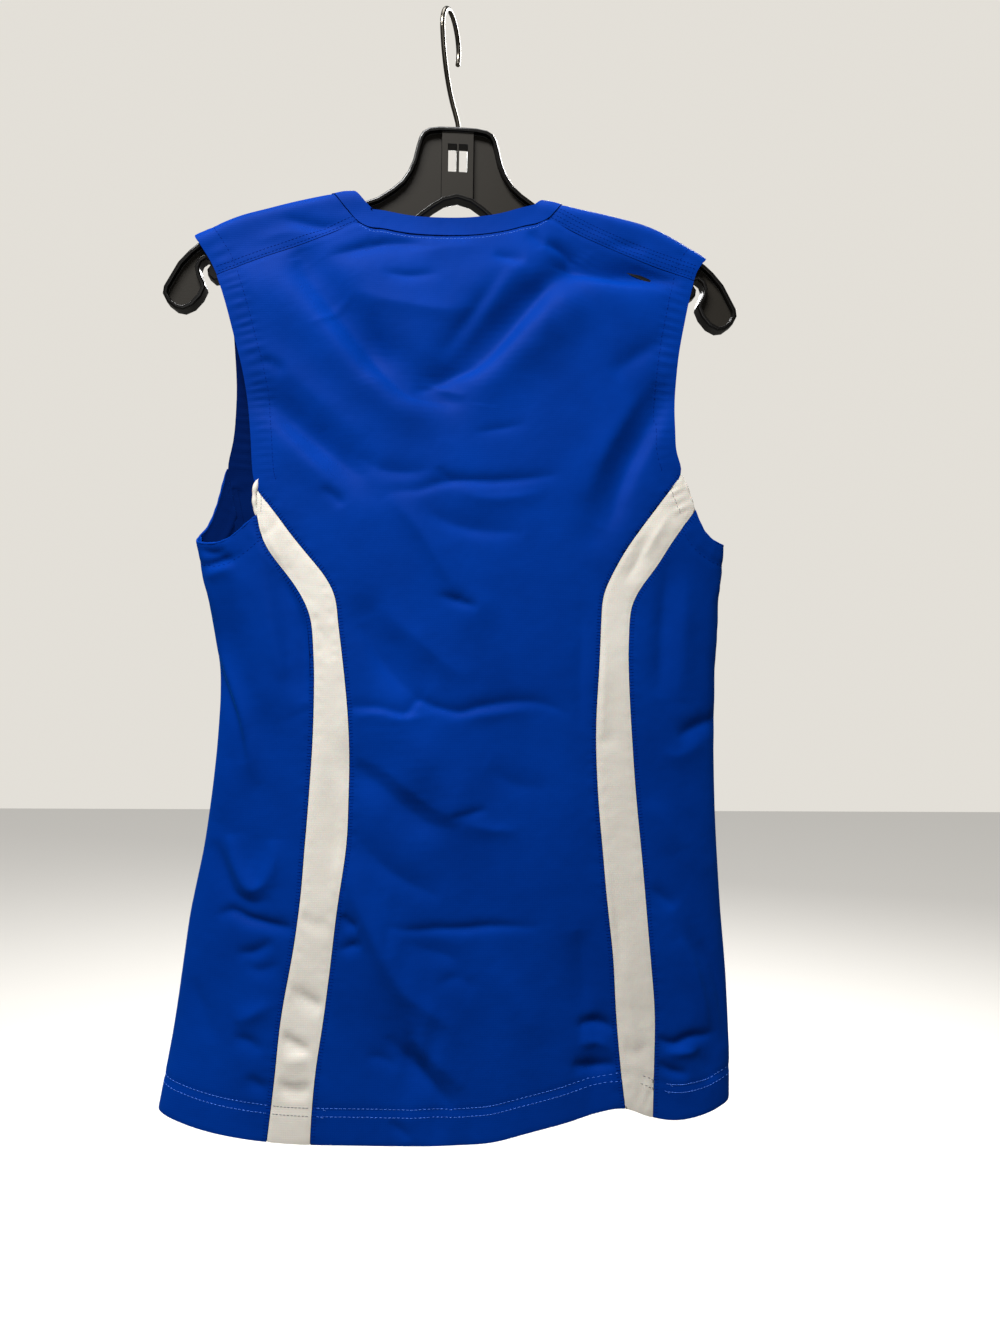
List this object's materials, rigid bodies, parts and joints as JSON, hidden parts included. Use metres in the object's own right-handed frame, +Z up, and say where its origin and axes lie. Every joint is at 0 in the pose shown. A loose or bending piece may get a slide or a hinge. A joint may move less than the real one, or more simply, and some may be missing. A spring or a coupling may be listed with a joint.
{
  "type": "sleeveless compression shirt on a hanger",
  "caption": "Sleeveless close-fitting sports shirt with curved contrast inserts on its back, hung by the shoulders on a moulded hanger with a wire hook.",
  "frame": {"origin": "the place at the top of the inside of the hook's bend, where it rests on a rail or wall hook", "axes": "+Z up along the hanging shirt, +X along the hanger, +Y from the shirt's back, which the picture shows, towards its front"},
  "size_m": [0.434, 0.0652, 0.8413],
  "materials": {
    "blue_knit": "fine warp knit with a soft satin sheen",
    "white_knit": "fine warp knit, off-white",
    "black_plastic": "moulded, glossy",
    "steel_wire": "polished wire"
  },
  "bodies": {
    "root": {"back_panel": "blue_knit", "front_panel": "blue_knit", "side_panel_left": "blue_knit", "side_panel_right": "blue_knit", "neckband": "blue_knit", "insert_left": "white_knit", "insert_right": "white_knit", "hanger_body": "black_plastic", "hanger_hook": "steel_wire"}
  },
  "joints": []
}
